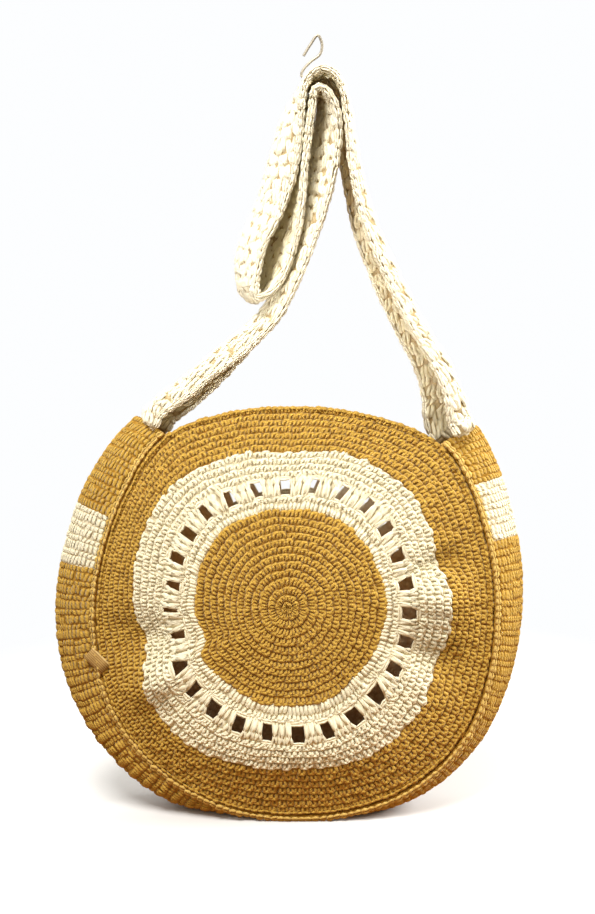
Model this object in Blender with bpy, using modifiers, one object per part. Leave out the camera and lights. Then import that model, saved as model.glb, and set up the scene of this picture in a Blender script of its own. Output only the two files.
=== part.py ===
"""Round crochet shoulder bag, hanging by its strap from a bent-wire wall hook. Metres, +Z up.

The origin is the middle of the hook plate's back, on the wall plane Y = 0. The bag is in front of
that plane, at -Y. It leans back a little, and its bottom touches the surface at Z = SURFACE_Z.
"""
import math
from collections import namedtuple

import bmesh
import bpy
from mathutils import Vector

# Where the bag stands
SURFACE_Z = -0.500        # surface under the bag
BAG_X = -0.020            # the disc's centre, across from the hook plate
BAG_Y = -0.062            # the bag's middle plane, where it meets the surface
LEAN = math.radians(5.5)  # the top leans back to the wall
CENTRE_UP = 0.150         # the disc's centre above the surface, along the bag

# Cloth
CLOTH = 0.003             # single crochet of the panels and gusset
STRAP_CLOTH = 0.004       # the strap's looser, fuller stitch
GAP = 0.0007              # clear space between two sewn pieces
SEAM_RADIUS = 0.0021      # half the thickness of the ridge that joins panel to gusset
SEAM_REACH = SEAM_RADIUS + GAP

# Panels, as discs of stitches round a centre
SECTORS = 54              # two to each opening of the openwork round
STEP = 360 / SECTORS
FIRST_ANGLE = 3.5         # degrees from the top, clockwise as seen from the front
DISC_RADIUS = 0.1405      # an even panel, before it is pulled out of round
SIDE_SQUEEZE = 0.05       # how far the inner rounds are pushed in at their two sides
FRONT_CROWN = 0.031       # the panels' middles, out from the bag's middle plane
BACK_CROWN = 0.026
OPENWORK = (0.56, 0.637)  # the round of openings, as shares of the rim's radius
FRONT_RINGS = (0, 0.14, 0.28, 0.42, *OPENWORK, 0.70, 0.76, 0.82, 0.88, 0.94, 1)
BACK_RINGS = (0, 0.28, *OPENWORK, 0.76, 0.88, 1)

# The openings are not quite even: the rounds have slipped round the disc, and a fold pinches some
OPENING_DEG = 5.4
SLIP_DEG, SLIP_SWING, SLIP_AT = 0.2, 3.6, 20
PINCH_AT, PINCH_REACH, PINCH_SHARE = 262, 16, 0.58

# The gusset runs from the right corner down, round the bottom and up to the left corner
GUSSET_SECTORS = 42
RIGHT_CORNER = FIRST_ANGLE + 6 * STEP
LEFT_CORNER = RIGHT_CORNER + GUSSET_SECTORS * STEP
SLANT, SLANT_REACH = 3.0, 24   # its ends are cut slanting: how far round, and how soon that fades

# The outline, by angle clockwise from the top: the radius of the seam ridge at the front and back,
# how far the seams stand out from the middle plane, how far the gusset bulges past the seam,
# and how late the panel turns down to its rim
Station = namedtuple("Station", "at front back half_depth bulge fullness")
OUTLINE = (
    Station(0, 0.1413, 0.1395, 0.0110, 0.014, 2.4),
    Station(20, 0.1453, 0.1425, 0.0115, 0.016, 2.4),
    Station(43.5, 0.1560, 0.1495, 0.0125, 0.0285, 2.6),
    Station(57, 0.1515, 0.1475, 0.0135, 0.0265, 2.8),
    Station(70, 0.1465, 0.1455, 0.0145, 0.0235, 3.0),
    Station(92, 0.1450, 0.1450, 0.0150, 0.0205, 3.2),
    Station(111, 0.1495, 0.1490, 0.0160, 0.0175, 3.6),
    Station(127, 0.1550, 0.1530, 0.0175, 0.0155, 4.2),
    Station(147, 0.1555, 0.1525, 0.0200, 0.0130, 5.2),
    Station(164, 0.1520, 0.1485, 0.0215, 0.0070, 5.8),
    Station(180, 0.1494, 0.1452, 0.0220, 0.0015, 6.0),
    Station(196, 0.1496, 0.1460, 0.0215, 0.0080, 5.8),
    Station(210, 0.1490, 0.1470, 0.0200, 0.0190, 5.2),
    Station(228, 0.1475, 0.1465, 0.0180, 0.0230, 4.4),
    Station(246, 0.1440, 0.1450, 0.0163, 0.0260, 3.7),
    Station(262, 0.1393, 0.1410, 0.0150, 0.0285, 3.2),
    Station(285, 0.1370, 0.1390, 0.0150, 0.0280, 3.0),
    Station(304, 0.1408, 0.1400, 0.0140, 0.0285, 2.8),
    Station(323.5, 0.1493, 0.1435, 0.0125, 0.0240, 2.6),
    Station(341, 0.1442, 0.1410, 0.0115, 0.015, 2.4),
)

# Soft swellings and hollows of the front panel: place, height, and reach round and outward
Fold = namedtuple("Fold", "name at radius height reach_deg reach_out")
FOLDS = (
    Fold("belly over the surface", 180, 0.102, 0.0060, 42, 0.030),
    Fold("crease above the right swelling", 74, 0.112, -0.0050, 5.5, 0.026),
    Fold("right swelling", 88, 0.104, 0.0050, 8, 0.022),
    Fold("hollow below it", 110, 0.110, -0.0055, 8, 0.026),
    Fold("hollow beside the pinched openings", 257, 0.106, -0.0060, 8, 0.026),
    Fold("lip under that hollow", 242, 0.110, 0.0065, 7, 0.022),
)

# The strap's route, from the left corner over the hook and back, in millimetres, then how far the
# strap is turned about its own route and how far its edges curl round, in degrees
STRAP_WIDTH = 0.044
CLEAR, LEAD = 0.0017, 0.012   # it starts clear of each corner, and leaves it straight
LEFT_TURN, LEFT_CURL = 16, 195
RIGHT_TURN, RIGHT_CURL = 28, 220
RIGHT_FLARE, FLARE_REACH = 0.016, 0.038   # the right end is stretched wider
Row = namedtuple("Row", "x y z turn curl")
STRAP_ROUTE = (
    Row(-96, -36, -203, 12, 180),    # up from the left corner
    Row(-76, -36, -186, 8, 165),
    Row(-54, -34, -167, -2, 140),
    Row(-37, -34, -149.5, -10, 90),
    Row(-28, -33, -134, -14, 68),
    Row(-17, -32, -109, -16, 55),
    Row(-5, -31, -74, -19, 48),
    Row(0.5, -30, -48, -22, 35),
    Row(4, -29.5, -23, -22, 25),
    Row(5, -29, -8, -12, 12),
    Row(1.5, -29, 2, 0, 8),          # over the hook, inner turn
    Row(-4.5, -29, 2, 8, 8),
    Row(-9.5, -29, -8, 15, 12),
    Row(-12.5, -29, -28, 18, 25),    # down on its left
    Row(-15, -30, -55, 19, 30),
    Row(-19, -30, -83, 23, 20),
    Row(-28, -31, -110, 26, 12),
    Row(-36, -31, -128, 17, 8),
    Row(-43.5, -31, -136.5, 0, 8),   # the low loop
    Row(-51, -31, -127.5, -16, 15),
    Row(-49.5, -31, -101, -24, 25),
    Row(-37, -30, -73, -26, 30),     # up again, outermost
    Row(-28, -30, -46, -26, 30),
    Row(-21, -29, -19, -20, 25),
    Row(-14, -29, 2, -9, 15),
    Row(-6.5, -29, 11.5, -3, 8),
    Row(3, -29, 14.5, 0, 6),         # over the hook, outer turn
    Row(11.5, -29, 8.5, 3, 15),
    Row(16.5, -29, -6, 5, 35),
    Row(20, -30, -28, 6, 55),        # down to the right corner
    Row(25, -31, -55, 4, 80),
    Row(32.5, -32, -83, 6, 105),
    Row(44, -34, -111, 8, 125),
    Row(62, -35, -148, 10, 145),
    Row(82, -37, -183, 16, 165),
    Row(91, -37, -206, 22, 190),
)
STRAP_STEPS = 3           # steps along from row to row
STRAP_EDGE_STEPS = 4      # steps from edge to edge

# The label sewn into the left seam, as places out from the disc's centre
LABEL_LENGTH, LABEL_WIDTH, LABEL_THICK = 0.016, 0.009, 0.0016
LABEL_ROOT = (-0.1300, -0.0452)
LABEL_DIRECTION = 136       # degrees from the bag's across direction towards its up direction
LABEL_OUT, LABEL_DROP = 0.0204, 8

# The hook: a wire bedded in the groove of a small clear plate, in millimetres
PLATE_WIDTH, PLATE_HEIGHT, PLATE_THICK = 0.024, 0.028, 0.0046
WIRE_RADIUS = 0.001
GROOVE_WIDTH = 2 * (WIRE_RADIUS + 2 * GAP)
GROOVE_DEPTH = 0.0028
WIRE_X = -3.0
WIRE_Y = -1000 * (PLATE_THICK - GROOVE_DEPTH + GAP + WIRE_RADIUS)
WIRE_ROUTE = (
    (-10.8, WIRE_Y, 33.0), (-6.0, WIRE_Y, 40.5), (-0.8, WIRE_Y, 47.0),
    (2.3, WIRE_Y, 41.0), (1.0, WIRE_Y, 34.3), (-5.5, WIRE_Y, 29.2),
    (-10.2, WIRE_Y, 24.5), (-12.4, WIRE_Y, 20.0), (-10.0, WIRE_Y, 17.8), (-6.0, WIRE_Y, 18.0),
    (-3.8, WIRE_Y, 17.3), (WIRE_X, WIRE_Y, 14.6), (WIRE_X, WIRE_Y, 10.0), (WIRE_X, WIRE_Y, 6.0),
    (WIRE_X, WIRE_Y, 0.8), (WIRE_X, WIRE_Y - 1.5, -2.0), (WIRE_X, WIRE_Y - 5.0, -2.6),
    (-2.6, -20.0, -3.2), (-2.2, -34.0, -3.9), (-1.8, -46.0, -3.8),
)

GOLD = (0.58, 0.31, 0.075)
CREAM = (0.86, 0.79, 0.62)


def smooth_value(rows, places, place, column):
    """A column's value at a place, on a smooth curve through the rows."""
    last = len(rows) - 1
    left = max(0, min(last - 1, sum(1 for known in places if known <= place) - 1))

    def slope(i):
        low, high = max(0, i - 1), min(last, i + 1)
        rise = getattr(rows[high], column) - getattr(rows[low], column)
        return rise / (places[high] - places[low])

    span = places[left + 1] - places[left]
    t = (place - places[left]) / span
    start, end = getattr(rows[left], column), getattr(rows[left + 1], column)
    return ((1 + 2 * t) * (1 - t) ** 2 * start + t * (1 - t) ** 2 * span * slope(left)
            + t * t * (3 - 2 * t) * end + t * t * (t - 1) * span * slope(left + 1))


OUTLINE_ROUND = tuple(row._replace(at=row.at + turn) for turn in (-360, 0, 360) for row in OUTLINE)
OUTLINE_PLACES = tuple(row.at for row in OUTLINE_ROUND)


def outline(angle, column):
    """A column of the outline at an angle clockwise from the top."""
    return smooth_value(OUTLINE_ROUND, OUTLINE_PLACES, angle % 360, column)


def bag_point(across, up, out):
    """World place of a point across and up from the disc's centre, and out of the middle plane."""
    height = CENTRE_UP + up
    return Vector((BAG_X + across,
                   BAG_Y + height * math.sin(LEAN) - out * math.cos(LEAN),
                   SURFACE_Z + height * math.cos(LEAN) + out * math.sin(LEAN)))


def polar_point(angle, radius, out):
    turn = math.radians(angle)
    return bag_point(radius * math.sin(turn), radius * math.cos(turn), out)


def seam_radius(angle, side):
    return outline(angle, "front" if side > 0 else "back")


def bell(distance, reach):
    return math.exp(-(distance / reach) ** 2)


def angle_between(a, b):
    return (a - b + 180) % 360 - 180


def panel_radius(angle, share, side):
    """Inner rounds are nearly even, and the outer ones follow the outline more and more."""
    turn = math.radians(angle)
    even = DISC_RADIUS * (1 - SIDE_SQUEEZE * math.sin(turn) ** 6)
    rim = seam_radius(angle, side) - SEAM_REACH
    return share * (even + (rim - even) * share ** 2)


def panel_out(angle, share, side):
    """How far the panel's cloth stands out from the bag's middle plane."""
    crown = FRONT_CROWN if side > 0 else BACK_CROWN
    depth = outline(angle, "half_depth")
    out = crown - (crown - depth) * share ** outline(angle, "fullness")
    if side > 0:
        radius = panel_radius(angle, share, side)
        for fold in FOLDS:
            near = bell(angle_between(angle, fold.at), fold.reach_deg)
            near *= bell(radius - fold.radius, fold.reach_out)
            out += fold.height * near * (1 - share ** 6)
    return out


def opening_angle(index):
    """The middle of one opening of the openwork round, in degrees."""
    even = FIRST_ANGLE + (2 * index + 1.5) * STEP
    return even + SLIP_DEG - SLIP_SWING * math.cos(math.radians(even - SLIP_AT))


def spoke_angle(spoke, share, side):
    """Where a spoke of the grid lies: even at the rim, at an opening's edge in the openwork."""
    even = FIRST_ANGLE + spoke * STEP
    index = (spoke - 1) // 2
    edge = -1 if spoke % 2 else 1
    pinch = PINCH_SHARE * bell(angle_between(even, PINCH_AT), PINCH_REACH) if side > 0 else 0
    at_opening = opening_angle(index) + edge * OPENING_DEG / 2 * (1 - pinch)
    middle = sum(OPENWORK) / 2
    if share < middle:
        near = max(0.0, 1 - (middle - share) / middle)
    else:
        near = max(0.0, 1 - (share - middle) / (1 - middle))
    held = min(1.0, near * 1.25)
    return even + (at_opening - even) * held


def new_object(name, mesh, color, roughness, metallic=0.0):
    obj = bpy.data.objects.new(name, mesh)
    parts.objects.link(obj)
    material = bpy.data.materials.new(name + "_finish")
    material.use_nodes = True
    shader = material.node_tree.nodes["Principled BSDF"]
    shader.inputs["Base Color"].default_value = (*color, 1)
    shader.inputs["Roughness"].default_value = roughness
    shader.inputs["Metallic"].default_value = metallic
    obj.data.materials.append(material)
    return obj


def cloth_object(name, bm, thickness, color):
    """An open surface as a sheet of crochet of its real thickness, with nothing below the surface."""
    mesh = bpy.data.meshes.new(name)
    bm.to_mesh(mesh)
    bm.free()
    sheet = new_object(name, mesh, color, 0.9)
    wall = sheet.modifiers.new("Thickness", "SOLIDIFY")
    wall.thickness = thickness
    wall.offset = 0
    graph = bpy.context.evaluated_depsgraph_get()
    solid = bpy.data.meshes.new_from_object(sheet.evaluated_get(graph))
    sheet.modifiers.clear()
    sheet.data = solid
    for vert in solid.vertices:
        vert.co.z = max(vert.co.z, SURFACE_Z)
    solid.shade_smooth()
    return sheet


def build_panel(name, side, rings, color):
    """A spoke of ring places spun into a disc, opened at the openwork, then shaped."""
    bm = bmesh.new()
    spoke = [bm.verts.new((share, 0, 0)) for share in rings]
    edges = [bm.edges.new(pair) for pair in zip(spoke, spoke[1:])]
    bmesh.ops.spin(bm, geom=spoke + edges, cent=(0, 0, 0), axis=(0, 0, side),
                   angle=math.tau, steps=SECTORS, use_merge=True)
    bmesh.ops.remove_doubles(bm, verts=bm.verts, dist=1e-5)
    openings = [face for face in bm.faces if is_opening(face.calc_center_median(), side)]
    bmesh.ops.delete(bm, geom=openings, context="FACES")
    for vert in bm.verts:
        share = min(rings, key=lambda ring: abs(ring - vert.co.length))
        number = round(math.degrees(math.atan2(vert.co.y * side, vert.co.x)) % 360 / STEP) % SECTORS
        angle = spoke_angle(number, share, side)
        out = side * panel_out(angle, share, side)
        vert.co = polar_point(angle, panel_radius(angle, share, side), out)
    return cloth_object(name, bm, CLOTH, color)


def is_opening(middle, side):
    """Every second quad of the openwork round is open."""
    number = math.degrees(math.atan2(middle.y * side, middle.x)) % 360 / STEP
    return OPENWORK[0] < middle.length < OPENWORK[1] and int(number) % 2 == 1


def gusset_section(angle, share):
    """Radius and out of the gusset's cloth, from the front seam (share 0) to the back one (1)."""
    bulge, depth = outline(angle, "bulge"), outline(angle, "half_depth")
    leave = Vector((bulge, -0.25 * depth)).normalized()
    pull = (bulge - SEAM_REACH * leave.x) / (0.75 * leave.x)
    points = []
    for side in (1, -1):
        away = Vector((leave.x, side * leave.y))
        seam = Vector((seam_radius(angle, side), side * depth))
        edge = seam + away * SEAM_REACH
        points.append((edge, edge + away * pull))
    (front, front_pull), (back, back_pull) = points
    t = share
    return (front * (1 - t) ** 3 + front_pull * 3 * t * (1 - t) ** 2
            + back_pull * 3 * t * t * (1 - t) + back * t ** 3)


def gusset_point(along, share):
    angle = RIGHT_CORNER + along * GUSSET_SECTORS * STEP
    near_ends = bell(angle - RIGHT_CORNER, SLANT_REACH) - bell(LEFT_CORNER - angle, SLANT_REACH)
    angle += SLANT * near_ends * 4 * share * (1 - share)
    radius, out = gusset_section(angle, share)
    point = polar_point(angle, radius, out)
    point.z = max(point.z, SURFACE_Z + CLOTH / 2)
    return point


def cloth_grid(name, shape, steps, thickness, color):
    """A grid of steps along and across, laid out by shape(along, across), as a sheet."""
    bm = bmesh.new()
    bmesh.ops.create_grid(bm, x_segments=steps[0], y_segments=steps[1], size=0.5)
    for vert in bm.verts:
        vert.co = shape(vert.co.x + 0.5, vert.co.y + 0.5)
    return cloth_object(name, bm, thickness, color)


def corner(angle, onward):
    """Middle of the gusset's slanting end at a corner, and the way in which the strap leaves it."""
    front, back, top = (gusset_section(angle, share) for share in (0, 1, 0.5))
    inner = polar_point(angle, (front.x + back.x) / 2, 0)
    outer = polar_point(angle - onward * SLANT, top.x, 0)
    toward_front = bag_point(0, 0, 1) - bag_point(0, 0, 0)
    ahead = (outer - inner).cross(toward_front).normalized()
    return (inner + outer) / 2, ahead * onward


def strap_rows():
    """The strap's route from corner to corner, each row with its distance along."""
    left, left_way = corner(LEFT_CORNER, 1)
    right, right_way = corner(RIGHT_CORNER, -1)
    first = [Row(*(left + left_way * away), LEFT_TURN, LEFT_CURL) for away in (CLEAR, LEAD)]
    final = [Row(*(right + right_way * away), RIGHT_TURN, RIGHT_CURL) for away in (LEAD, CLEAR)]
    hung = [row._replace(x=row.x / 1000, y=row.y / 1000, z=row.z / 1000) for row in STRAP_ROUTE]
    rows = [*first, *hung, *final]
    places = [0.0]
    for before, row in zip(rows, rows[1:]):
        places.append(places[-1] + math.dist(before[:3], row[:3]))
    return rows, places


def strap_point(rows, places, along, across):
    """A point of the strap's cloth: along its route, and across from the front edge to the back."""
    index = min(along * (len(rows) - 1), len(rows) - 1.0001)
    row = int(index)
    place = places[row] + (index - row) * (places[row + 1] - places[row])

    def route(at):
        return Vector([smooth_value(rows, places, at, axis) for axis in "xyz"])

    reach = 0.0005
    way = (route(min(place + reach, places[-1])) - route(max(place - reach, 0))).normalized()
    back = Vector((0, math.cos(LEAN), -math.sin(LEAN)))
    back = (back - way * back.dot(way)).normalized()
    outer = way.cross(back)
    turn = math.radians(smooth_value(rows, places, place, "turn"))
    turned = back * math.cos(turn) - outer * math.sin(turn)
    outer = outer * math.cos(turn) + back * math.sin(turn)
    curl = math.radians(max(4, smooth_value(rows, places, place, "curl")))
    width = STRAP_WIDTH + RIGHT_FLARE * bell(places[-1] - place, FLARE_REACH)
    radius = width / curl
    bend = (across - 0.5) * curl
    sag = radius * (1 - math.cos(curl / 2))
    rise = radius * (math.cos(bend) - 1) + sag / 2
    return route(place) + turned * radius * math.sin(bend) + outer * rise


def build_strap():
    rows, places = strap_rows()
    steps = (STRAP_STEPS * (len(rows) - 1), STRAP_EDGE_STEPS)
    return cloth_grid("strap", lambda along, across: strap_point(rows, places, along, across),
                      steps, STRAP_CLOTH, CREAM)


def tube(name, points, radius, color, roughness, metallic=0.0):
    """A round bar through points, as a bevelled curve with closed ends."""
    curve = bpy.data.curves.new(name, "CURVE")
    curve.dimensions = "3D"
    curve.bevel_depth = radius
    curve.bevel_resolution = 2
    curve.use_fill_caps = True
    spline = curve.splines.new("POLY")
    spline.points.add(len(points) - 1)
    for knot, point in zip(spline.points, points):
        knot.co = (*point, 1)
    return new_object(name, curve, color, roughness, metallic)


def build_seam(name, side):
    """The ridge of joining stitches between a panel's rim and the gusset's edge."""
    angles = [RIGHT_CORNER + i * STEP for i in range(GUSSET_SECTORS + 1)]
    points = [polar_point(a, seam_radius(a, side), side * outline(a, "half_depth")) for a in angles]
    return tube(name, points, SEAM_RADIUS, GOLD, 0.9)


def build_label():
    """A small folded ribbon, plain, whose root is sewn into the seam."""
    bm = bmesh.new()
    bmesh.ops.create_cube(bm, size=1)
    bmesh.ops.scale(bm, vec=(LABEL_LENGTH, LABEL_WIDTH, LABEL_THICK), verts=bm.verts)
    bmesh.ops.bevel(bm, geom=bm.edges, offset=0.0004, segments=1, affect="EDGES", profile=0.5)
    across = Vector((1, 0, 0))
    up = bag_point(0, 1, 0) - bag_point(0, 0, 0)
    out = bag_point(0, 0, 1) - bag_point(0, 0, 0)
    turn, drop = math.radians(LABEL_DIRECTION), math.radians(LABEL_DROP)
    length = across * math.cos(turn) + up * math.sin(turn)
    width = up * math.cos(turn) - across * math.sin(turn)
    normal = out * math.cos(drop) + length * math.sin(drop)
    length = length * math.cos(drop) - out * math.sin(drop)
    root = bag_point(*LABEL_ROOT, LABEL_OUT)
    for vert in bm.verts:
        x, y, z = vert.co
        vert.co = root + length * (x + LABEL_LENGTH / 2) + width * y + normal * z
    mesh = bpy.data.meshes.new("side_label")
    bm.to_mesh(mesh)
    bm.free()
    return new_object("side_label", mesh, (0.60, 0.40, 0.18), 0.7)


def box(name, low, high):
    """A block between two corners."""
    bm = bmesh.new()
    bmesh.ops.create_cube(bm, size=1)
    low, high = Vector(low), Vector(high)
    bmesh.ops.scale(bm, vec=high - low, verts=bm.verts)
    bmesh.ops.translate(bm, vec=(low + high) / 2, verts=bm.verts)
    mesh = bpy.data.meshes.new(name)
    bm.to_mesh(mesh)
    bm.free()
    return bpy.data.objects.new(name, mesh)


def build_plate():
    """The clear plate on the wall, with rounded corners and a groove that the wire lies in."""
    half = PLATE_WIDTH / 2
    blank = box("hook_plate_blank", (-half, -PLATE_THICK, -PLATE_HEIGHT / 2),
                (half, 0, PLATE_HEIGHT / 2))
    plate = new_object("hook_plate", blank.data, (0.85, 0.87, 0.88), 0.15)
    bpy.data.objects.remove(blank)
    rounding = plate.modifiers.new("Corners", "BEVEL")
    rounding.width = 0.003
    rounding.segments = 3
    rounding.limit_method = "WEIGHT"
    weights = plate.data.attributes.new("bevel_weight_edge", "FLOAT", "EDGE")
    for edge in plate.data.edges:
        a, b = (plate.data.vertices[i].co for i in edge.vertices)
        weights.data[edge.index].value = 1.0 if abs(a.y - b.y) > PLATE_THICK / 2 else 0.0
    left, reach = WIRE_X / 1000 - GROOVE_WIDTH / 2, 0.002
    groove = box("hook_groove", (left, -PLATE_THICK - reach, -0.006),
                 (left + GROOVE_WIDTH, GROOVE_DEPTH - PLATE_THICK, PLATE_HEIGHT / 2 + reach))
    cutters.objects.link(groove)
    groove.hide_render = True
    groove.display_type = "WIRE"
    cut = plate.modifiers.new("Groove", "BOOLEAN")
    cut.operation = "DIFFERENCE"
    cut.object = groove
    return plate


def smooth_route(points, steps):
    """Points on a smooth curve through a hand-laid route."""
    Place = namedtuple("Place", "x y z")
    rows = [Place(*(value / 1000 for value in point)) for point in points]
    places = [0.0]
    for before, row in zip(rows, rows[1:]):
        places.append(places[-1] + math.dist(before, row))
    smooth = []
    for step in range(steps + 1):
        at = places[-1] * step / steps
        smooth.append([smooth_value(rows, places, at, axis) for axis in "xyz"])
    return smooth


for old in list(bpy.data.objects):
    bpy.data.objects.remove(old, do_unlink=True)
parts = bpy.data.collections.new("crochet_bag_on_wall_hook")
cutters = bpy.data.collections.new("cutters")
bpy.context.scene.collection.children.link(parts)
bpy.context.scene.collection.children.link(cutters)

build_panel("front_panel", 1, FRONT_RINGS, GOLD)
build_panel("back_panel", -1, BACK_RINGS, GOLD)
cloth_grid("gusset", gusset_point, (GUSSET_SECTORS, 8), CLOTH, GOLD)
build_seam("front_seam", 1)
build_seam("back_seam", -1)
build_strap()
build_label()
build_plate()
tube("hook_wire", smooth_route(WIRE_ROUTE, 64), WIRE_RADIUS, (0.6, 0.6, 0.6), 0.3, 1.0)
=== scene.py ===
# Round crochet shoulder bag, hung by its strap from a small wire hook: its cloth, stitches and finishes.
import math

import bmesh
import bpy
import numpy as np
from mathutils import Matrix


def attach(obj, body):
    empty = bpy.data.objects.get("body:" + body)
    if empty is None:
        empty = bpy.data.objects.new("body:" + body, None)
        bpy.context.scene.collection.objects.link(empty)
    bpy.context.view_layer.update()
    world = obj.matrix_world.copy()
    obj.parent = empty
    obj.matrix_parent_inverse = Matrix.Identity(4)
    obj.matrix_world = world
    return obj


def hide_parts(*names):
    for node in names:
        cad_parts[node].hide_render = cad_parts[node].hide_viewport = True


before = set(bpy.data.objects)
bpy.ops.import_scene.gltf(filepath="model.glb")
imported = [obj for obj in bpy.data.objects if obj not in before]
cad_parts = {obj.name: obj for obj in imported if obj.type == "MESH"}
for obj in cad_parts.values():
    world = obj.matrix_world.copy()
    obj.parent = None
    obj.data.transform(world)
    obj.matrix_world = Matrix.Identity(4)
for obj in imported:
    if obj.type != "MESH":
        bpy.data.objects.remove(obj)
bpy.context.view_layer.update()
seeded = np.random.default_rng(23)
mm = 0.001
print("frame loaded")

# View and light
studio = {
    "cameraPlace": (-0.015, -0.848, -0.127),
    "cameraTilt": 81.5,
    "lens": 45.3,
    "sensor": 36,
    "backdropColour": (0.98, 0.99, 1.0),
    "roomColour": (0.31, 0.29, 0.24),
    "lowColour": (0.12, 0.05, 0.010),
    "wallColour": (0.90, 0.90, 0.88),   # the light that a white wall sends back
    "wallFade": (-0.15, 0.25),
    "lowFade": (-0.2, 0.6),
    "aim": (-0.02, -0.08, -0.3),
    "lamps": (
        # name, place, size, power and colour, then its own aim and spread
        ("key", (-0.30, -0.75, 1.25), 0.85, 37.5, (1.0, 0.985, 0.96)),
        ("fill", (-0.75, -0.85, 0.70), 0.7, 0.8, (0.97, 0.98, 1.0)),
        ("front", (-0.12, -0.95, 0.12), 0.7, 1.1, (1.0, 0.90, 0.70)),
        ("side", (0.92, 0.0, 0.05), 0.5, 14, (1.0, 0.99, 0.97)),
        ("strap", (-0.50, -0.75, -0.46), 0.3, 0.17, (1.0, 0.98, 0.94), (0.04, -0.03, -0.125), 22),
        # stands for the light that the cloth lets through
        ("inside", (-0.02, -0.045, -0.36), 0.11, 0.026, (1.0, 0.46, 0.14), (-0.02, 0.3, -0.30)),
    ),
    "floorReach": 3,
    "floorColour": (0.80, 0.80, 0.79),
    "floorGlow": (0.30, 0.12, 0.012),   # what it sends back up: dim and warm
    "floorFade": (0.17, 0.46),
}


def addLight(name, place, size, power, colour, aim=studio["aim"], spread=180):
    lamp = bpy.data.lights.new(name, "AREA")
    lamp.shape = "DISK"
    lamp.size = size
    lamp.energy = power
    lamp.color = colour
    lamp.spread = math.radians(spread)
    light = newObject(name, lamp)
    light.location = place
    away = [a - b for a, b in zip(place, aim)]
    tilt = math.atan2(math.hypot(*away[:2]), away[2])
    light.rotation_euler = (tilt, 0, math.atan2(away[0], -away[1]))


def buildCamera():
    lens = bpy.data.cameras.new("camera")
    lens.lens = studio["lens"]
    lens.sensor_width = studio["sensor"]
    camera = newObject("camera", lens)
    camera.location = studio["cameraPlace"]
    camera.rotation_euler = (math.radians(studio["cameraTilt"]), 0, 0)
    bpy.context.scene.camera = camera
    bpy.context.scene.view_settings.view_transform = "Standard"


def buildAir():
    # The camera sees a pale backdrop. The light comes from a white wall behind, the room in front
    # and a dim, warm floor below.
    world = bpy.data.worlds.new("studioAir")
    world.use_nodes = True
    tree = world.node_tree
    air = tree.nodes["Background"]
    way = addNode(tree, "TexCoord", "Generated")
    axes = addNode(tree, "SeparateXYZ", "Y", {"Vector": way}).node.outputs
    behind = mapped(tree, axes["Y"], studio["wallFade"], kind="SMOOTHSTEP")
    above = mapped(tree, axes["Z"], studio["lowFade"], kind="SMOOTHSTEP")
    sides = mixed(tree, behind, studio["roomColour"], studio["wallColour"])
    feed(air, {"Color": mixed(tree, above, studio["lowColour"], sides)})
    backdrop = addNode(tree, "Background", "Background", {"Color": studio["backdropColour"]})
    seen = addNode(tree, "LightPath", "Is Camera Ray")
    choice = addNode(tree, "MixShader", "Shader", {0: seen, 1: air.outputs["Background"], 2: backdrop})
    feed(tree.nodes["World Output"], {"Surface": choice})
    bpy.context.scene.world = world


def floorMaterial():
    # Pale paint that thins out well away from the bag
    colour = studio["floorColour"]
    material, tree, shader = newMaterial("floorPaint", {"Base Color": colour, "Roughness": 0.8})
    place = addNode(tree, "TexCoord", "Object")
    level = addNode(tree, "Mapping", "Vector", {"Vector": place, "Location": (0, 0, -bag["surface"])})
    distance = addNode(tree, "VectorMath", "Value", {0: level}, operation="LENGTH")
    seen = addNode(tree, "LightPath", "Is Camera Ray")
    feed(shader, {"Alpha": mapped(tree, distance, studio["floorFade"], (1, 0), "SMOOTHSTEP"),
                  "Base Color": mixed(tree, seen, studio["floorGlow"], colour)})
    return material


def buildStudio():
    buildCamera()
    buildAir()
    for lamp in studio["lamps"]:
        addLight(*lamp)
    bm = bmesh.new()
    bmesh.ops.create_grid(bm, x_segments=1, y_segments=1, size=studio["floorReach"])
    bmesh.ops.translate(bm, vec=(0, 0, bag["surface"]), verts=bm.verts)
    floor = newPiece("floor", bm, [floorMaterial()])


def newObject(name, data):
    made = bpy.data.objects.new(name, data)
    bpy.context.scene.collection.objects.link(made)
    return made


def newMesh(name, mesh, materials):
    for material in materials:
        mesh.materials.append(material)
    mesh.shade_smooth()
    return newObject(name, mesh)


def newPiece(name, bm, materials, thickness=0):
    mesh = bpy.data.meshes.new(name)
    bm.to_mesh(mesh)
    bm.free()
    piece = newMesh(name, mesh, materials)
    if thickness:
        wall = piece.modifiers.new("cloth", "SOLIDIFY")
        wall.thickness = thickness
        wall.offset = 0
    return piece


def flatPlaces(bm):
    bm.verts.index_update()
    return np.array([vert.co for vert in bm.verts])


def moveVerts(bm, places):
    for vert, place in zip(bm.verts, places):
        vert.co = place


def addToBag(pieces):
    # Every piece of the bag belongs to its one body
    for piece in pieces:
        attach(piece, "root")


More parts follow.
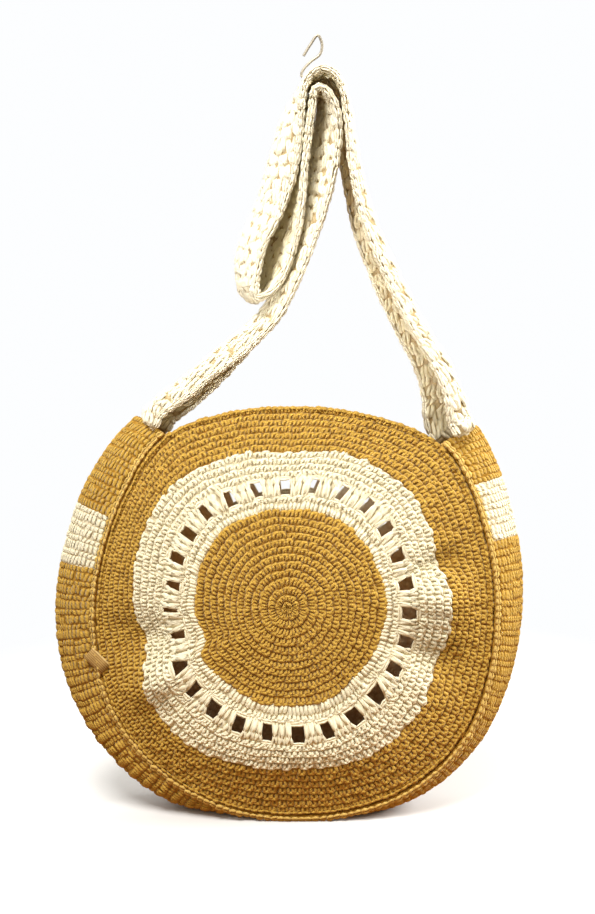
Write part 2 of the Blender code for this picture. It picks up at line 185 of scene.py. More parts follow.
# The bag's shape, with its solids' values; a note says where the visible cloth differs
bag = {
    "surface": -0.500,
    "x": -0.020,
    "y": -0.062,
    "lean": math.radians(5.5),
    "centreUp": 0.150,
    "seamReach": 0.0028,
    "sectors": 54,
    "firstAngle": 3.5,
    "discRadius": 0.1405,
    "rimRadius": 0.145,
    "sideSqueeze": 0.05,
    "crown": {1: 0.031, -1: 0.026},
    "openwork": (0.56, 0.637),
    "openingWidth": 5.4,
    "pullReach": (0.045, 0.16),   # how far an opening's pull reaches round it, and across the rounds
    "goldEdge": (0.25, 0.481, 0.55),   # a yarn change's shift, as shares: where it starts, is full, ends
    "creamEdge": (0.64, 0.797, 1),
    "startShift": (-0.0020, 0.0007),   # where the front's first round lies, across and up
    "startReach": 0.48,
    "slip": (0.2, 3.6, 20),
    "gussetSectors": 42,
    "gussetInward": 0.25,
    "slant": (3.0, 24),
    "sink": 0.0004,   # the plain cloth lies this far inside its stitches
    "groundClear": 0.0008,
    "groundThickness": 0.0015,
}
sector = 360 / bag["sectors"]
rightCorner = bag["firstAngle"] + 6 * sector
leftCorner = rightCorner + bag["gussetSectors"] * sector

# By angle clockwise from the top: seam radius at the front and back, how far the seams stand from
# the middle plane, the gusset's bulge past the seam, and how late the panel turns to its rim
outlineRows = np.array((
    (0, 0.1413, 0.1395, 0.0110, 0.014, 2.4),
    (20, 0.1453, 0.1425, 0.0115, 0.016, 2.4),
    (43.5, 0.1560, 0.1495, 0.0125, 0.0285, 2.6),
    (57, 0.1515, 0.1475, 0.0135, 0.0265, 2.8),
    (70, 0.1465, 0.1455, 0.0145, 0.0235, 3.0),
    (92, 0.1450, 0.1450, 0.0150, 0.0205, 3.2),
    (111, 0.1495, 0.1490, 0.0160, 0.0175, 3.6),
    (127, 0.1550, 0.1530, 0.0175, 0.0155, 4.2),
    (147, 0.1555, 0.1525, 0.0200, 0.0130, 5.2),
    (164, 0.1520, 0.1485, 0.0215, 0.0070, 5.8),
    (180, 0.1494, 0.1452, 0.0220, 0.0015, 6.0),
    (196, 0.1496, 0.1460, 0.0215, 0.0080, 5.8),
    (210, 0.1490, 0.1470, 0.0200, 0.0190, 5.2),
    (228, 0.1475, 0.1465, 0.0180, 0.0230, 4.4),
    (246, 0.1440, 0.1450, 0.0163, 0.0260, 3.7),
    (262, 0.1393, 0.1410, 0.0150, 0.0285, 3.2),
    (285, 0.1370, 0.1390, 0.0150, 0.0280, 3.0),
    (304, 0.1408, 0.1400, 0.0140, 0.0285, 2.8),
    (323.5, 0.1493, 0.1435, 0.0125, 0.0240, 2.6),
    (341, 0.1442, 0.1410, 0.0115, 0.015, 2.4),
))
outlineColumns = {"front": 1, "back": 2, "halfDepth": 3, "bulge": 4, "fullness": 5}

# The front's folds: angle, radius, height, reach round in degrees, reach out. The belly stands up to
# 3.5 mm fuller than its solid.
foldRows = (
    (180, 0.101, 0.0095, 42, 0.026),    # belly over the surface
    (74, 0.112, -0.0080, 4.5, 0.026),   # crease above the right swelling
    (87, 0.106, 0.0080, 8, 0.022),      # right swelling
    (110, 0.110, -0.0090, 7, 0.026),    # hollow below it
    (258, 0.108, -0.0090, 8, 0.026),    # hollow beside the pinched openings
    (241, 0.108, 0.0095, 6, 0.022),     # lip under that hollow
)
# How each of the 27 openings has been pulled, clockwise from the top right: shift, slant, width and
# taper in degrees, and reach away from the centre in millimetres
openingRows = np.array((
    (1.5, 1.4, -1.25, -0.23, 1.5), (0.6, 1.6, -1.3, 0, 1.6), (-0.5, 0.7, -1.05, -0.23, 1.5),
    (-1.1, 0.7, -0.6, -0.65, -0.7), (-0.5, -0.4, -0.35, 0.58, -2.6), (0, -0.6, -0.6, 0.42, -1.1),
    (-0.4, 0.4, 0.1, -0.54, 0.2), (-0.4, 0.7, -0.2, -0.5, -0.2), (-0.5, 0, -0.35, -0.85, -2.3),
    (0, 0.4, 0.1, -1.85, -2), (0, -1.4, 0.3, -0.85, -0.1), (0, -1.2, -0.75, -0.12, 1.3),
    (-0.6, -0.4, 0.05, -0.54, 0.7), (-0.2, -1.2, -0.65, -0.35, 0.5), (0, -0.8, -0.3, -0.69, 1.5),
    (0, -1, 0.05, -0.85, 2), (-1.1, -1.1, -1, -0.96, 2.3), (-1.9, 0.2, -0.95, 1.12, 2.3),
    (0, 0.2, -0.95, -0.96, -2.4), (0.4, 0.4, -1.9, 0, 2.6), (0.1, 1, -1.05, -1, 1.4),
    (0.5, 0, -0.5, -0.31, 3.3), (0.7, -0.4, -0.65, -0.54, 2.9), (-0.2, 0, -1, -0.38, 3),
    (-0.3, 0, -0.65, -0.96, 0.4), (0.7, 0, -0.5, 0.5, 0), (0.8, 0, -0.4, 0, -0.8)))
# How far the two yarn changes lie off their even places, by angle, in millimetres
goldEdgeRows = np.array((
    (0, 0.7), (18, 0.3), (30, 0.7), (42, -1.2), (60, 1.4), (84, 1.6), (100, 0), (120, -0.7),
    (138, -2.2), (160, -1), (180, -1.4), (190, 0), (205, -1.2), (222, -2), (234, 0.7), (242, 2.2),
    (248, -3.4), (257, -1.2), (270, -0.3), (290, 1), (312, 0.8), (324, 1.8), (340, 1.5), (350, 2.4),
    (360, 0.7)))
creamEdgeRows = np.array((
    (0, -4.3), (20, -0.8), (40, -3.1), (58, -3.4), (76, -4.6), (80, -1.0), (84, 0.2), (100, 0.6),
    (106, -2.5), (112, -4.2), (130, -2.7), (150, -2), (165, -3), (180, -5), (198, -1.6), (215, 3.5),
    (228, 4.3), (240, 3.1), (255, -5.2), (270, 1.3), (300, 5.2), (320, 1.9), (336, -1.4), (348, -1.9),
    (360, -4.3)))


def throughRows(places, values, at):
    # Values on a smooth curve through the rows
    places, values, at = (np.asarray(x, float) for x in (places, values, at))
    order = np.arange(len(places))
    low, high = np.maximum(order - 1, 0), np.minimum(order + 1, len(places) - 1)
    slope = (values[high] - values[low]) / (places[high] - places[low])
    left = np.clip(np.searchsorted(places, at, side="right") - 1, 0, len(places) - 2)
    span = places[left + 1] - places[left]
    t = (at - places[left]) / span
    return ((1 + 2 * t) * (1 - t) ** 2 * values[left] + t * (1 - t) ** 2 * span * slope[left]
            + t * t * (3 - 2 * t) * values[left + 1] + t * t * (t - 1) * span * slope[left + 1])


def bell(distance, reach):
    return np.exp(-(distance / reach) ** 2)


def turnBetween(a, b):
    return (a - b + 180) % 360 - 180


outlinePlaces = np.concatenate([outlineRows[:, 0] + turn for turn in (-360, 0, 360)])


def outlineAt(angle, column):
    values = np.tile(outlineRows[:, outlineColumns[column]], 3)
    return throughRows(outlinePlaces, values, np.asarray(angle, float) % 360)


def bagPoint(across, up, out):
    across, up, out = np.broadcast_arrays(across, up, out)
    height = bag["centreUp"] + up
    return np.stack((bag["x"] + across,
                     bag["y"] + height * math.sin(bag["lean"]) - out * math.cos(bag["lean"]),
                     bag["surface"] + height * math.cos(bag["lean"]) + out * math.sin(bag["lean"])), -1)


def bagWay(across, up, out):
    return bagPoint(across, up, out) - bagPoint(0, 0, 0)


def polarPoint(angle, radius, out):
    turn = np.radians(angle)
    return bagPoint(radius * np.sin(turn), radius * np.cos(turn), out)


def discPlace(x, y):
    # A flat place's angle and share of the rim's radius
    return np.degrees(np.arctan2(x, y)) % 360, np.hypot(x, y)


def seamRadius(angle, side):
    return outlineAt(angle, "front" if side > 0 else "back")


def panelRadius(angle, share, side):
    even = bag["discRadius"] * (1 - bag["sideSqueeze"] * np.sin(np.radians(angle)) ** 6)
    rim = seamRadius(angle, side) - bag["seamReach"]
    radius = share * (even + (rim - even) * share ** 2)
    if side > 0:
        for rows, places in ((goldEdgeRows, bag["goldEdge"]), (creamEdgeRows, bag["creamEdge"])):
            off = throughRows(rows[:, 0], rows[:, 1] * mm, angle % 360)
            radius = radius + off * np.interp(share, places, (0, 1, 0))
    return radius


def panelPoint(angle, share, side):
    # The middle of the panel's cloth
    crown, depth = bag["crown"][side], outlineAt(angle, "halfDepth")
    out = crown - (crown - depth) * share ** outlineAt(angle, "fullness")
    radius = panelRadius(angle, share, side)
    if side > 0:
        for at, middle, height, reachRound, reachOut in foldRows:
            near = bell(turnBetween(angle, at), reachRound) * bell(radius - middle, reachOut)
            out = out + height * near * (1 - share ** 6)
    place = polarPoint(angle, radius, side * out)
    if side > 0:
        fade = np.maximum(0, 1 - np.asarray(share, float) / bag["startReach"])
        place = place + fade[..., None] * bagWay(*bag["startShift"], 0)
    return place


def slipped(angle, share):
    # The rounds have slipped a little round the disc at the openwork, and each opening has its own pull
    middle = sum(bag["openwork"]) / 2
    near = np.where(share < middle, share / middle, (1 - share) / (1 - middle))
    base, swing, at = bag["slip"]
    slip = (base - swing * np.cos(np.radians(angle - at))) * np.clip(near * 1.25, 0, 1)
    cycle = (np.asarray(angle, float) - bag["firstAngle"] - 1.5 * sector) / (2 * sector)
    count = len(openingRows)
    shift, slant, width, taper, _ = openingRows[np.round(cycle).astype(int) % count].T
    reach = (share - middle) / bag["pullReach"][0]
    fade = np.exp(-np.abs(reach / 1.5) ** 4)
    turn = 2 * math.pi * (cycle - np.round(cycle))
    pull = (shift + slant * reach) * np.cos(turn / 2) ** 2 + (width + taper * reach) * np.sin(turn)
    away = np.interp(cycle, range(count), openingRows[:, 4], period=count) * mm / bag["rimRadius"]
    away = away * np.exp(-np.abs((share - middle) / bag["pullReach"][1]) ** 4)
    return angle + slip + fade * pull, share + away


def unitRows(vectors):
    return vectors / np.maximum(np.linalg.norm(vectors, axis=-1, keepdims=True), 1e-12)


def panelSurface(side):
    # Places and outward directions on a panel, by angle and share of the rim's radius
    def onPlane(x, y):
        return panelPoint(*slipped(*discPlace(x, y)), side)

    def surface(angle, share):
        turn, small = np.radians(angle), 1e-3
        x, y = share * np.sin(turn), share * np.cos(turn)
        place = onPlane(x, y)
        across, up = onPlane(x + small, y) - place, onPlane(x, y + small) - place
        return place, unitRows(np.cross(across, up)) * side
    return surface


def gussetSection(angle, share):
    # A curve from seam to seam, whose middle comes three quarters of the way to its two handles
    bulge, depth = outlineAt(angle, "bulge"), outlineAt(angle, "halfDepth")
    inward = bag["gussetInward"] * depth
    length = np.hypot(bulge, inward)
    leaveX, leaveY = bulge / length, -inward / length
    pull = (bulge - bag["seamReach"] * leaveX) / (0.75 * leaveX)
    knots = []
    for side in (1, -1):
        x = seamRadius(angle, side) + leaveX * bag["seamReach"]
        y = side * (depth + leaveY * bag["seamReach"])
        knots.append((x, y, x + leaveX * pull, y + side * leaveY * pull))
    front, back = knots
    knots = (front[:2], front[2:], back[2:], back[:2])
    shares = ((1 - share) ** 3, 3 * share * (1 - share) ** 2, 3 * share ** 2 * (1 - share), share ** 3)
    return tuple(sum(knot[axis] * part for knot, part in zip(knots, shares)) for axis in (0, 1))


def gussetPoint(share, along):
    angle = rightCorner + along * bag["gussetSectors"] * sector
    slant, reach = bag["slant"]
    nearEnds = bell(angle - rightCorner, reach) - bell(leftCorner - angle, reach)
    angle = angle + slant * nearEnds * 4 * share * (1 - share)
    return polarPoint(angle, *gussetSection(angle, share))


def gussetSurface(share, along):
    place, small = gussetPoint(share, along), 1e-3
    across = gussetPoint(share + small, along) - place
    forward = gussetPoint(share, along + small) - place
    return place, unitRows(np.cross(forward, across))


def sunk(place, normal):
    # The plain cloth lies inside its stitches, and clear of the surface below
    place = place - normal * bag["sink"]
    place[:, 2] = np.maximum(place[:, 2], bag["surface"] + bag["groundClear"])
    return place


# Materials: each yarn's and ground's colour on its raised parts, and a darker one that gives painted
# shade on the strands' low parts as well as their plies, tone and grain
yarn = {
    "colours": {
        "goldYarn": ((0.61, 0.38, 0.063), (0.355, 0.175, 0.020)),
        "seamYarn": ((0.72, 0.49, 0.13), (0.47, 0.26, 0.045)),
        "creamYarn": ((0.91, 0.85, 0.63), (0.76, 0.67, 0.44)),
        # whiter than the panels' cream: partly the strap's own colour and partly painted light
        "strapYarn": ((0.97, 0.93, 0.75), (0.78, 0.67, 0.44)),
        # the strap's inner side: the same yarn made warmer, painted warm shade
        "strapInnerWarmShade": ((0.96, 0.905, 0.68), (0.81, 0.70, 0.45)),
    },
    "finish": {"Roughness": 0.86, "Specular IOR Level": 0.2, "Sheen Weight": 0.18,
               "Sheen Roughness": 0.5},
    "spiral": (1.257, 1.885, 1),
    "fuzz": {"Scale": 900, "Detail": 3},
    "patches": {"Scale": 26},
    # lift's share paints shade: the low parts of each strand take the darker colour
    "shares": (0.55, 0.16, 0.26, 0.14),   # of lift, plies, tone and patches in the colour
    "relief": (0.5, 0.0003),
}
ground = {
    # Grounds are darker than their yarns: painted shade in the gaps between and behind the stitches,
    # over the yarn's own colour
    "colours": {
        "goldGroundShaded": ((0.50, 0.285, 0.048), (0.36, 0.18, 0.022)),
        "strapGroundShaded": ((0.65, 0.53, 0.32), (0.45, 0.33, 0.16)),
        "creamGroundShaded": ((0.86, 0.79, 0.58), (0.68, 0.58, 0.38)),
    },
    "finish": {"Roughness": 0.92, "Specular IOR Level": 0.1},
    "knots": {"Scale": 260},
    "relief": (0.8, 0.001),
}


def feed(node, sockets):
    # Each named socket gets its value, or a link from the output that is given for it
    for name, value in sockets.items():
        socket = node.inputs[name]
        if isinstance(value, bpy.types.NodeSocket):
            node.id_data.links.new(value, socket)
        else:
            socket.default_value = (*value, 1) if socket.type == "RGBA" else value


def addNode(tree, kind, output, sockets=None, **settings):
    # Gives back the new node's output of that name
    node = tree.nodes.new("ShaderNode" + kind)
    for key, value in settings.items():
        setattr(node, key, value)
    feed(node, sockets or {})
    return node.outputs[output]


def mapped(tree, value, ends=(0, 1), reach=(0, 1), kind="LINEAR"):
    sockets = {"Value": value, "From Min": ends[0], "From Max": ends[1],
               "To Min": reach[0], "To Max": reach[1]}
    return addNode(tree, "MapRange", "Result", sockets, interpolation_type=kind)


def mixed(tree, share, a, b):
    return addNode(tree, "Mix", "Result", {"Factor": share, "A": a, "B": b}, data_type="RGBA")


def worked(tree, kind, *values):
    return addNode(tree, "Math", "Value", dict(enumerate(values)), operation=kind)


def ramp(tree, amount, *stops):
    colours = addNode(tree, "ValToRGB", "Color", {"Fac": amount})
    for element, (place, colour) in zip(colours.node.color_ramp.elements, stops):
        element.position = place
        element.color = (*colour, 1)
    return colours


def bumped(tree, height, strength, distance, **settings):
    sockets = {"Height": height, "Strength": strength, "Distance": distance}
    return addNode(tree, "Bump", "Normal", sockets, **settings)


def newMaterial(name, sockets):
    material = bpy.data.materials.new(name)
    material.use_nodes = True
    shader = material.node_tree.nodes["Principled BSDF"]
    feed(shader, sockets)
    return material, material.node_tree, shader


def yarnMaterial(name):
    # Plied cotton: the strand's own map carries the plies, and tone varies its colour; lift paints
    # shade, so each strand's low parts are darker
    light, shadeAndTone = yarn["colours"][name]
    material, tree, shader = newMaterial(name, {"Base Color": light, **yarn["finish"]})
    strand = addNode(tree, "UVMap", "UV", uv_map="strand")
    spiral = addNode(tree, "Mapping", "Vector", {"Vector": strand, "Scale": yarn["spiral"]})
    plies = addNode(tree, "TexWave", "Fac", {"Vector": spiral, "Scale": 1},
                    wave_type="BANDS", bands_direction="DIAGONAL")
    place = addNode(tree, "TexCoord", "Object")
    fuzz = addNode(tree, "TexNoise", "Fac", {"Vector": place, **yarn["fuzz"]})
    patches = addNode(tree, "TexNoise", "Fac", {"Vector": place, **yarn["patches"]})
    # lift is the strand's height: its low parts get the darker colour, as painted shade
    lift, tone = (addNode(tree, "Attribute", "Fac", attribute_name=key) for key in ("lift", "tone"))
    amount = 0
    for source, share in zip((lift, plies, tone, patches), yarn["shares"]):
        amount = worked(tree, "MULTIPLY_ADD", source, share, amount)
    height = worked(tree, "MULTIPLY_ADD", fuzz, 0.5, plies)
    feed(shader, {"Base Color": ramp(tree, amount, (0.05, shadeAndTone), (0.95, light)),
                  "Normal": bumped(tree, height, *yarn["relief"])})
    return material


def groundMaterial(name):
    # The cloth between and behind the stitches, with a small knotted grain. Its colours are darker than
    # its yarn's: the yarn's own colour with painted shade, for the gaps between the stitches
    light, shadeAndTone = ground["colours"][name]
    material, tree, shader = newMaterial(name, {"Base Color": light, **ground["finish"]})
    place = addNode(tree, "TexCoord", "Object")
    knots = addNode(tree, "TexVoronoi", "Distance", {"Vector": place, **ground["knots"]})
    feed(shader, {"Base Color": ramp(tree, knots, (0.1, light), (0.75, shadeAndTone)),
                  "Normal": bumped(tree, knots, *ground["relief"], invert=True)})
    return material


goldYarn, seamYarn, creamYarn, strapYarn, strapInnerWarmShade = map(yarnMaterial, yarn["colours"])
goldGroundShaded, strapGroundShaded, creamGroundShaded = map(groundMaterial, ground["colours"])


# Stitches: short strands of yarn, laid out once in a square cell and repeated by arrays
cellSize = 5   # millimetres


def longRod(bm, sides, steps):
    # A rod along z from -0.5 to 0.5, cut across into steps
    bmesh.ops.create_cone(bm, cap_ends=True, segments=sides, radius1=1, radius2=1, depth=1)
    long = [edge for edge in bm.edges if abs(edge.verts[0].co.z - edge.verts[1].co.z) > 0.5]
    bmesh.ops.subdivide_edges(bm, edges=long, cuts=steps - 1)


def strandShape(route, flat, sides, steps):
    # A strand through a given route; flat is its height as a share of its width
    bm = bmesh.new()
    strandMap = bm.loops.layers.uv.new("strand")
    longRod(bm, sides, steps)
    for face in bm.faces:
        around = [math.atan2(loop.vert.co.y, loop.vert.co.x) / math.tau % 1 for loop in face.loops]
        wraps = max(around) - min(around) > 0.5
        for loop, turn in zip(face.loops, around):
            loop[strandMap].uv = (turn + (1 if wraps and turn < 0.5 else 0), loop.vert.co.z + 0.5)
    route, places = np.asarray(route, float), np.linspace(0, 1, len(route))

    def along(t):
        return np.array([throughRows(places, route[:, axis], t) for axis in range(3)])

    shares = (flatPlaces(bm)[:, 2] + 0.5).clip(0, 1)
    for vert, t in zip(bm.verts, shares):
        way = along(min(t + 0.01, 1)) - along(max(t - 0.01, 0))
        way /= np.linalg.norm(way)
        beside = np.cross(way, (0, 0, 1))
        beside /= max(np.linalg.norm(beside), 1e-9)
        over = np.cross(beside, way)
        radius = throughRows(places, route[:, 3], t) / 2
        vert.co = along(t) + (beside * vert.co.x + over * vert.co.y * flat) * radius
    bmesh.ops.recalc_face_normals(bm, faces=bm.faces)
    shape = {
        "points": flatPlaces(bm),
        # the strand's height as a share, which the yarn's colour uses to paint shade on its low parts
        "lift": throughRows(places, route[:, 2], shares) / route[:, 2].max(),
        "corners": np.array([loop.vert.index for face in bm.faces for loop in face.loops]),
        "sizes": np.array([len(face.loops) for face in bm.faces]),
        "map": np.array([loop[strandMap].uv for face in bm.faces for loop in face.loops]),
    }
    bm.free()
    return shape


def stitchShape(strands, flat=0.75, sides=4, steps=4):
    shapes = [strandShape(route, flat, sides, steps) for route in strands]
    starts = np.cumsum([0] + [len(shape["points"]) for shape in shapes])
    for shape, start in zip(shapes, starts):
        shape["corners"] += start
    return {key: np.concatenate([shape[key] for shape in shapes]) for key in shapes[0]}


def pairOf(route):
    # A strand and its mirror image
    return [route, [(-x, y, z, width) for x, y, z, width in route]]


def layStitches(name, shape, cells, surface, finish):
    # One row of cells a stitch: its start a and b, its size da and db, lift, skew and tone
    cells = np.concatenate(cells)
    a, b, da, db, lift, skew, tone = cells.T[..., None]
    x, y, z = shape["points"].T[:, None]
    across = a + (x / cellSize + skew * (y / cellSize - 0.5)) * da
    along = b + y / cellSize * db
    place, normal = surface(across.ravel(), along.ravel())
    points = place + normal * (z * lift).reshape(-1, 1) * mm
    points[:, 2] = np.maximum(points[:, 2], bag["surface"])
    count, each = len(cells), len(shape["points"])
    corners = (shape["corners"] + each * np.arange(count)[:, None]).ravel()
    sizes = np.tile(shape["sizes"], count)
    mesh = bpy.data.meshes.new(name)
    mesh.vertices.add(count * each)
    mesh.vertices.foreach_set("co", points.astype(np.float32).ravel())
    mesh.loops.add(len(corners))
    mesh.loops.foreach_set("vertex_index", corners.astype(np.int32))
    mesh.polygons.add(len(sizes))
    mesh.polygons.foreach_set("loop_start", (np.cumsum(sizes) - sizes).astype(np.int32))
    mesh.update(calc_edges=True)
    strandMap = np.tile(shape["map"], (count, 1)).astype(np.float32)
    mesh.uv_layers.new(name="strand").uv.foreach_set("vector", strandMap.ravel())
    # lift darkens the low parts of each strand in its yarn's colour: painted shade
    tones = {"tone": np.repeat(tone.ravel(), each), "lift": np.tile(shape["lift"], count)}
    for key, values in tones.items():
        mesh.attributes.new(key, "FLOAT", "POINT").data.foreach_set("value", values.astype(np.float32))
    return newMesh(name, mesh, [finish])


def cellRows(a, b, da, db, lift=1.0, skew=0.0, wobble=0.06):
    # One row for each stitch, with a little unevenness in place, height, slant and tone
    a, b, da, db, lift = np.broadcast_arrays(a, b, da, db, lift)
    loose = seeded.normal(0, 1, (6, len(a))).clip(-2, 2)
    return np.stack((a + loose[0] * wobble * da, b + loose[1] * wobble * db * 0.6,
                     da, db * (1 + wobble * loose[5]), lift * (1 + 0.16 * loose[2]),
                     skew + 0.12 * loose[3], np.clip(0.5 + 0.3 * loose[4], 0, 1)), -1)


# Each strand's route, with its width at the same places, in millimetres
leg = [(0.9, 0.35, 0.25, 1.5), (1.4, 1.5, 0.95, 2.2), (1.45, 2.7, 1.2, 2.5), (1.25, 4.0, 1.1, 2.3)]
topLoop = [(-2.8, 3.6, 0.7, 1.7), (-1.4, 4.05, 1.25, 2.2), (0.1, 4.2, 1.35, 2.3),
           (1.5, 4.25, 1.25, 2.2), (2.8, 4.4, 0.7, 1.7)]
singleStitch = stitchShape([*pairOf(leg), topLoop], steps=3)
post = [(1.2, -0.2, 0.1, 2.1), (1.24, 1.2, 1.1, 2.7), (1.25, 2.6, 1.45, 2.8), (1.25, 3.9, 1.15, 2.7),
        (1.22, 5.1, 0.1, 2.1)]
ribStitch = stitchShape(pairOf(post), flat=0.6)
tallLeg = [(0.6, -0.2, 0.5, 1.8), (1.3, 1.1, 1.1, 2.6), (0.4, 2.1, 1.4, 3.0), (-0.5, 3.2, 1.3, 3.0),
           (1.2, 4.3, 1.1, 2.6), (0.7, 5.2, 0.5, 1.8)]
tallStitch = stitchShape(pairOf(tallLeg), sides=5, steps=6)
overLoop = [(-3.0, 2.2, 0.4, 1.2), (-1.4, 1.5, 1.1, 1.7), (0.1, 1.3, 1.2, 1.9), (1.5, 1.6, 1.1, 1.7),
            (3.0, 2.3, 0.4, 1.2)]
underLoop = [(-3.0, 2.6, 0.3, 1.2), (-1.5, 2.9, 1.0, 1.7), (0.0, 3.2, 1.1, 1.9), (1.4, 2.9, 1.0, 1.7),
             (3.0, 2.5, 0.3, 1.2)]
bridgeStitch = stitchShape([overLoop, underLoop], sides=5, steps=5)
leaf = [(0.2, -0.3, 0.2, 1.2), (1.0, 0.9, 0.9, 2.0), (1.3, 2.3, 1.25, 2.3), (0.9, 3.9, 1.0, 2.0),
        (0.1, 5.2, 0.2, 1.1)]
leafStitch = stitchShape(pairOf(leaf))
chainLeg = [(0.2, -0.9, 0.5, 1.2), (1.1, 0.6, 1.2, 2.0), (1.35, 2.4, 1.5, 2.3), (0.9, 4.2, 1.2, 2.0),
            (0.1, 5.3, 0.4, 1.2)]
chainStitch = stitchShape(pairOf(chainLeg))
print("stitches ready")


# Panels
innerRings = (0.003, 0.027, 0.062, 0.104, 0.151, 0.191, 0.231, 0.268, 0.302, 0.337, 0.372, 0.407,
              0.441, 0.481)
panel = {
    "rounds": {   # start and end as shares of the rim, then the stitches round
        "gold": (*((*ends, 6 * ring) for ring, ends in enumerate(zip(innerRings, innerRings[1:]), 1)),
                 *((0.797 + 0.029 * ring, 0.797 + 0.029 * (ring + 1), 132 + 5 * ring)
                   for ring in range(7))),
        "cream": ((0.518, 0.553, 90), (0.648, 0.686, 112), (0.686, 0.723, 117), (0.723, 0.760, 122),
                  (0.760, 0.797, 128)),
    },
    "posts": (0.476, 0.520, 84),   # the first cream round, whose posts reach over the gold
    "bars": (3, 0.552, 3.2, 0.096),   # between two openings: how many, start, width and length
    "chains": ((0.541, 0.632), 7.4, 0.034),
    "groundRings": (0.02, 0.12, 0.24, 0.36, 0.481, 0.553, 0.645, 0.70, 0.75, 0.797, 0.85, 0.90, 0.95,
                    1.005),
    "groundOpen": (0.553, 0.645),
    "spokes": (0.6, 0.2, 3.1),   # they part at this share and reach, to half an opening in degrees
}


def roundCells(colour):
    rows = []
    for start, end, count in panel["rounds"][colour]:
        angles = (np.arange(count) + seeded.uniform(0, 1)) * 360 / count
        wobble = 0.15 if end == bag["creamEdge"][1] else 0.07   # the last cream round has uneven teeth
        rows.append(cellRows(angles, start, 360 / count, end - start, skew=0.06, wobble=wobble))
    return rows


def betweenSpokes(offset):
    # The angle at this many sectors past the start of each opening's share of the disc
    return bag["firstAngle"] + (2 * np.arange(bag["sectors"] // 2) + offset) * sector


def barCells():
    # Tall stitches between the openings
    count, start, wide, length = panel["bars"]
    width = 2 * sector - bag["openingWidth"]
    offsets = [(number - (count - 1) / 2) * width / count for number in range(count)]
    return [cellRows(betweenSpokes(0.5) + offset, start, wide, length, wobble=0.05)
            for offset in offsets]


def postCells():
    start, end, count = panel["posts"]
    return [cellRows(np.arange(count) * 360 / count, start, 360 / count, end - start, wobble=0.12)]


def chainCells():
    # The chains that close the openings at their inner and outer ends
    shares, wide, length = panel["chains"]
    return [cellRows(betweenSpokes(1.5), share, wide, length, wobble=0.03) for share in shares]


def panelGround(name, side):
    # A spoke of ring places is spun into a disc, opened at the openwork and laid on the bag
    bm = bmesh.new()
    spoke = [bm.verts.new((0, share, 0)) for share in panel["groundRings"]]
    edges = [bm.edges.new(pair) for pair in zip(spoke, spoke[1:])]
    bmesh.ops.spin(bm, geom=spoke + edges, cent=(0, 0, 0), axis=(0, 0, -1), angle=math.tau,
                   steps=bag["sectors"], use_merge=True)
    bmesh.ops.remove_doubles(bm, verts=bm.verts, dist=1e-5)
    bmesh.ops.contextual_create(bm, geom=[edge for edge in bm.edges if edge.is_boundary
                                          and edge.verts[0].co.length < 0.05])
    openings = []
    inner, outer = panel["groundOpen"]
    for face in bm.faces:
        angle, share = discPlace(*face.calc_center_median().xy)
        if inner < share < outer and int(angle / sector) % 2:
            openings.append(face)
    bmesh.ops.delete(bm, geom=openings, context="FACES")
    at, reach, half = panel["spokes"]
    for vert in bm.verts:   # the spokes beside an opening move to its edges
        share = vert.co.length
        number = round(discPlace(*vert.co.xy)[0] / sector) % bag["sectors"]
        near = max(0, 1 - abs(share - at) / reach)
        edge = (0.5 * sector - half) * (1 if number % 2 else -1) * near
        turn = math.radians(bag["firstAngle"] + number * sector + edge)
        vert.co = (share * math.sin(turn), share * math.cos(turn), 0)
    bmesh.ops.subdivide_edges(bm, edges=bm.edges, cuts=1, use_grid_fill=True)
    bmesh.ops.triangulate(bm, faces=[face for face in bm.faces if len(face.verts) > 4])
    flat = flatPlaces(bm)
    moveVerts(bm, sunk(*panelSurface(side)(*discPlace(flat[:, 0], flat[:, 1]))))
    gold, cream = bag["goldEdge"][1], bag["creamEdge"][1]
    for face in bm.faces:
        middle = np.mean([flat[vert.index] for vert in face.verts], axis=0)
        face.material_index = int(gold < np.hypot(*middle[:2]) < cream)
    if side < 0:
        bmesh.ops.reverse_faces(bm, faces=bm.faces)
    return newPiece(name, bm, [goldGroundShaded, creamGroundShaded], bag["groundThickness"])


def buildPanel(which, side):
    surface = panelSurface(side)
    cloth = panelGround(which + "Cloth", side)
    kinds = (
        ("GoldStitches", singleStitch, roundCells("gold"), goldYarn),
        ("CreamStitches", singleStitch, roundCells("cream"), creamYarn),
        ("Posts", ribStitch, postCells(), creamYarn),
        ("BarStitches", tallStitch, barCells(), creamYarn),
        ("Chains", bridgeStitch, chainCells(), creamYarn),
    )
    gold, *cream = [layStitches(which + kind, shape, cells, surface, finish)
                    for kind, shape, cells, finish in kinds]
    addToBag((cloth, gold))
    addToBag(cream)
    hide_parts(which + "_panel")
    print(which, "panel stitched")


# Gusset
gusset = {
    "rows": 71,
    "across": 13,
    "creamRows": ((4, 8), (60, 64)),
    "relief": 0.38,
    "ribbed": (0.52, 0.62, 0.14),   # more relief at the lower left: how much, where and how far
    "postShare": 0.62,   # the rest of each row is its lower ridge
    "drawnUp": (0.17, 0.0095),
}


def gussetPlace(share):
    # The rows have drawn up a little towards the right corner
    reach, most = gusset["drawnUp"]
    return share - most * np.sin(np.pi * np.minimum(share / reach, 1))


def inCream(row):
    return any(low <= row < high for low, high in gusset["creamRows"])


def gussetCells(cream):
    rows, count, across = [], gusset["rows"], gusset["across"]
    shares = (np.arange(across) + 0.5) / across
    more, at, reach = gusset["ribbed"]
    for row in range(count):
        if inCream(row) != cream:
            continue
        height = gusset["relief"] + more * bell(row / count - at, reach)
        start, change, end = gussetPlace(np.array((row, row + gusset["postShare"], row + 1)) / count)
        rows.append(cellRows(shares, start, 1 / across, change - start, lift=height, wobble=0.09))
        rows.append(cellRows(shares, change, 1 / across, end - change, lift=0.3 + 0.3 * height,
                             wobble=0.10))
    return rows


